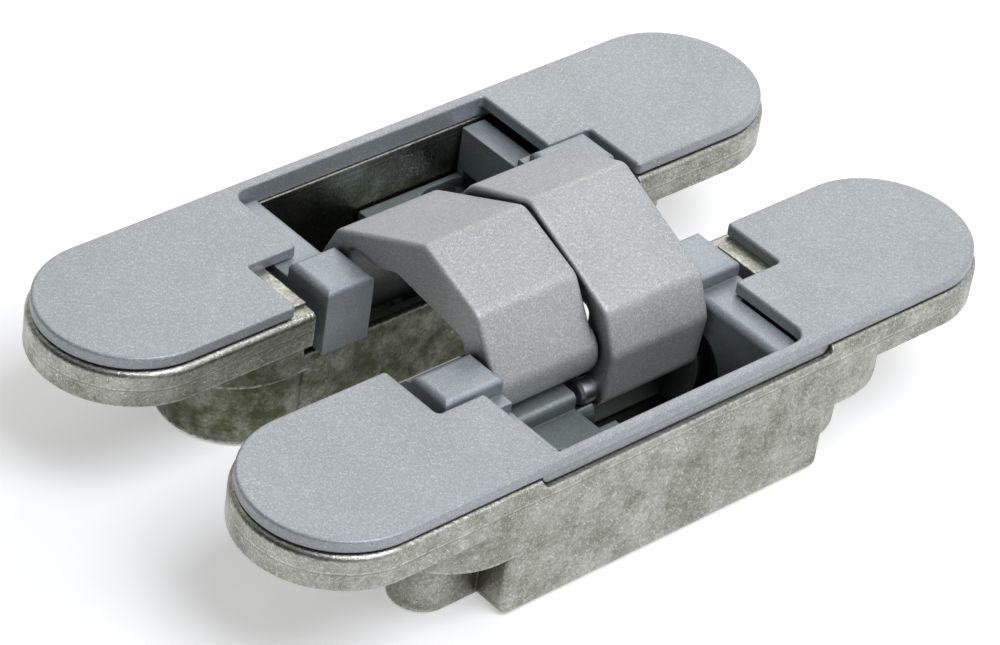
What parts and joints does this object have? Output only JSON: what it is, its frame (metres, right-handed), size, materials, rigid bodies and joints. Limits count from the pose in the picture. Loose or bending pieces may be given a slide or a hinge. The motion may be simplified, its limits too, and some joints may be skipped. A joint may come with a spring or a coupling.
{
  "type": "concealed door hinge",
  "caption": "Concealed door hinge: two mortise leaves with clip-on covers, joined by two crossed arms, lying open flat at 180 degrees.",
  "frame": {"origin": "under the middle of the open hinge, in the plane of the casing bottoms", "axes": "+X along the leaves and the pivot axes, +Y from the door leaf to the frame leaf, +Z out of the mortises"},
  "size_m": [0.1182, 0.0666, 0.0314],
  "materials": {
    "raw_zinc": "mottled as-cast zinc",
    "cover_paint": "satin silver-grey powder coat",
    "carrier_paint": "satin silver-grey paint",
    "arm_paint": "satin silver paint",
    "ground_steel": "ground steel",
    "acetal": "plain acetal",
    "plated_steel": "bright zinc plate"
  },
  "bodies": {
    "frame_leaf": {"frame_casing": "raw_zinc", "frame_cover": "cover_paint", "frame_clamp_screw": "plated_steel", "frame_clamp_washer": "plated_steel"},
    "frame_slider": {"frame_carrier": "carrier_paint", "frame_pivot_pin": "ground_steel", "frame_pivot_washer": "acetal"},
    "frame_link": {"frame_arm": "arm_paint", "frame_pivot_bush": "acetal", "frame_slide_pin": "ground_steel", "cross_pin": "ground_steel", "cross_washer": "acetal"},
    "door_link": {"door_arm": "arm_paint", "door_pivot_bush": "acetal", "door_slide_pin": "ground_steel", "cross_bush": "acetal"},
    "door_slider": {"door_carrier": "carrier_paint", "door_pivot_pin": "ground_steel", "door_pivot_washer": "acetal"},
    "door_leaf": {"door_casing": "raw_zinc", "door_cover": "cover_paint", "door_clamp_screw": "plated_steel", "door_clamp_washer": "plated_steel"}
  },
  "joints": [
    {"name": "frame_height", "type": "slide", "parent": "frame_leaf", "child": "frame_slider", "axis": [1, 0, 0], "range_m": [-0.0015, 0.0015]},
    {"name": "frame_pivot", "type": "hinge", "parent": "frame_slider", "child": "frame_link", "pos_m": [0, 0.0122, 0.0176], "axis": [-1, 0, 0], "range_deg": [0, 115]},
    {"name": "cross_pivot", "type": "hinge", "parent": "frame_link", "child": "door_link", "pos_m": [0, 0, 0.0272], "axis": [1, 0, 0], "range_deg": [0, 50.01]},
    {"name": "door_pivot", "type": "hinge", "parent": "door_link", "child": "door_slider", "pos_m": [0, -0.0122, 0.0176], "axis": [-1, 0, 0], "range_deg": [0, 115]},
    {"name": "door_height", "type": "slide", "parent": "door_slider", "child": "door_leaf", "axis": [1, 0, 0], "range_m": [-0.0015, 0.0015]}
  ],
  "couplings": [
    {"joint": "cross_pivot", "follows": "frame_pivot", "ratio": 0.43478},
    {"joint": "door_pivot", "follows": "frame_pivot", "ratio": 1}
  ]
}
